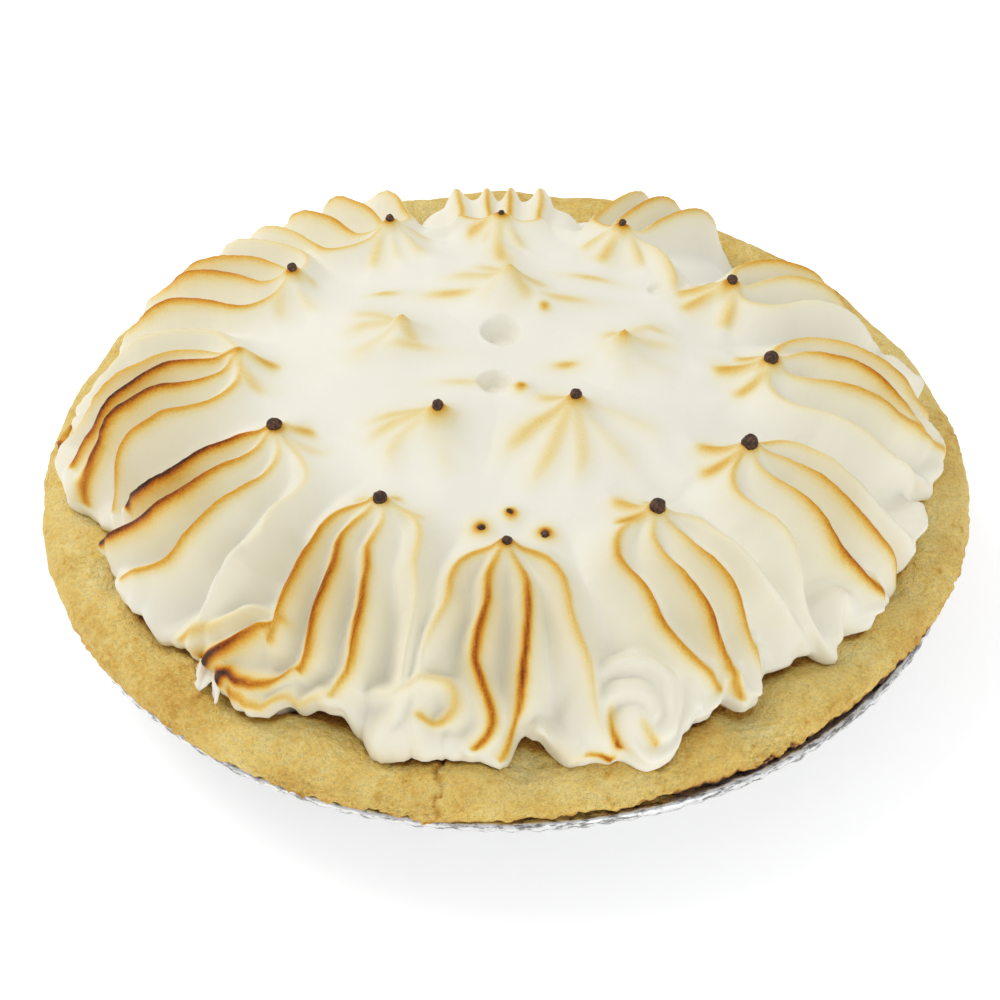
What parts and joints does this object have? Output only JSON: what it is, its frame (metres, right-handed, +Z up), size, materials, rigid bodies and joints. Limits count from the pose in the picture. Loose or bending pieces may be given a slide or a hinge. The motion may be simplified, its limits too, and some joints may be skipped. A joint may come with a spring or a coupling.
{
  "type": "lemon meringue pie in a foil tin",
  "caption": "Round whole pie with a pale pastry rim and a high piped meringue top, its ridges toasted brown, baked and sold in a shallow foil tin.",
  "frame": {"origin": "middle of the tin's flat underside, on the surface the pie stands on", "axes": "+Z up through the pie, -Y towards the side of the pie that faces the viewer, +X to the viewer's right"},
  "size_m": [0.239, 0.2361, 0.0786],
  "materials": {
    "foil": "pressed household foil, bright and finely creased",
    "pastry": "baked short pastry, dry and matt, pale gold with deeper patches",
    "meringue": "soft whipped egg white, satin, toasted gold to dark brown along the crests"
  },
  "bodies": {
    "root": {"foil_tin": "foil", "crust": "pastry", "meringue": "meringue"}
  },
  "joints": []
}
